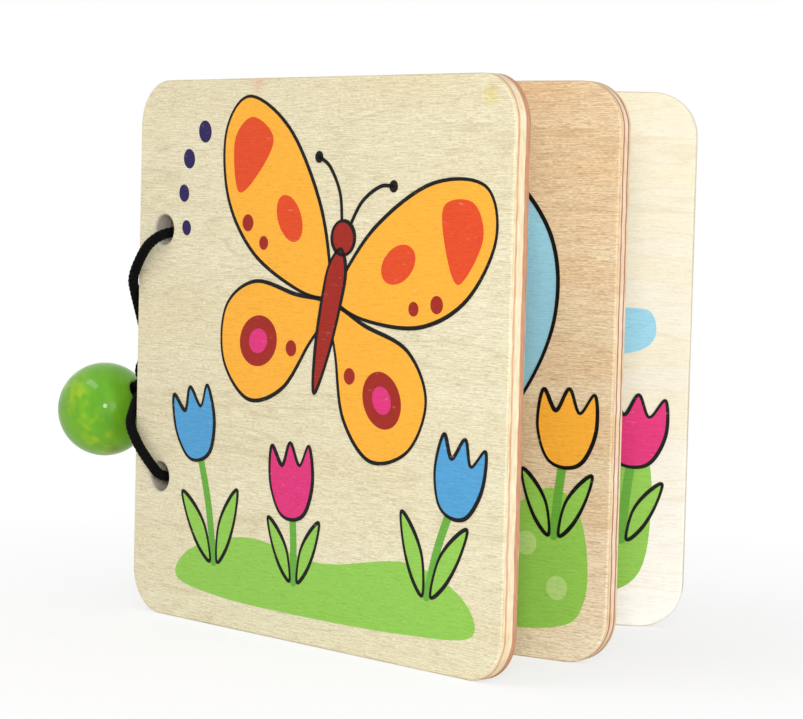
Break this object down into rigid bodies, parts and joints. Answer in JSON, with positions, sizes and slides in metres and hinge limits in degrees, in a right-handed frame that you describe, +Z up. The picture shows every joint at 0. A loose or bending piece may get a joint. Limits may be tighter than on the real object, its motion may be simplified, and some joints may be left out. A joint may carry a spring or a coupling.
{
  "type": "wooden picture book",
  "caption": "Small square wooden picture book: printed plywood leaves with rounded corners on a black cord binding, covers that open at the spine, and a green wooden bead.",
  "frame": {"origin": "middle of the middle leaf's bottom edge, on the surface that the book stands on", "axes": "+Z up; the middle leaf lies along X with the spine at its -X end; the front cover is on the -Y side and the back cover on the +Y side"},
  "size_m": [0.137, 0.0849, 0.11],
  "materials": {
    "cover_plywood": "satin",
    "page_plywood": "satin",
    "back_plywood": "satin",
    "bead_lacquer": "gloss lacquer",
    "cord": "braided"
  },
  "bodies": {
    "middle": {"middle_page": "page_plywood", "binding_cord": "cord"},
    "front": {"front_cover": "cover_plywood"},
    "back": {"back_cover": "back_plywood"},
    "bead": {"spine_bead": "bead_lacquer"}
  },
  "joints": [
    {"name": "front_cover_hinge", "type": "hinge", "parent": "middle", "child": "front", "pos_m": [-0.055, -0.00215, 0.055], "axis": [0, 0, -1], "range_deg": [-14, 121], "deforming": ["binding_cord"]},
    {"name": "back_cover_hinge", "type": "hinge", "parent": "middle", "child": "back", "pos_m": [-0.055, 0.00215, 0.055], "axis": [0, 0, 1], "range_deg": [-25, 35], "deforming": ["binding_cord"]},
    {"name": "bead_swing", "type": "hinge", "parent": "front", "child": "bead", "pos_m": [-0.056, -0.00618, 0.04025], "axis": [0, 0, -1], "range_deg": [-115, 14], "deforming": ["binding_cord"]}
  ],
  "couplings": [
    {"joint": "bead_swing", "follows": "front_cover_hinge", "ratio": -0.95}
  ]
}
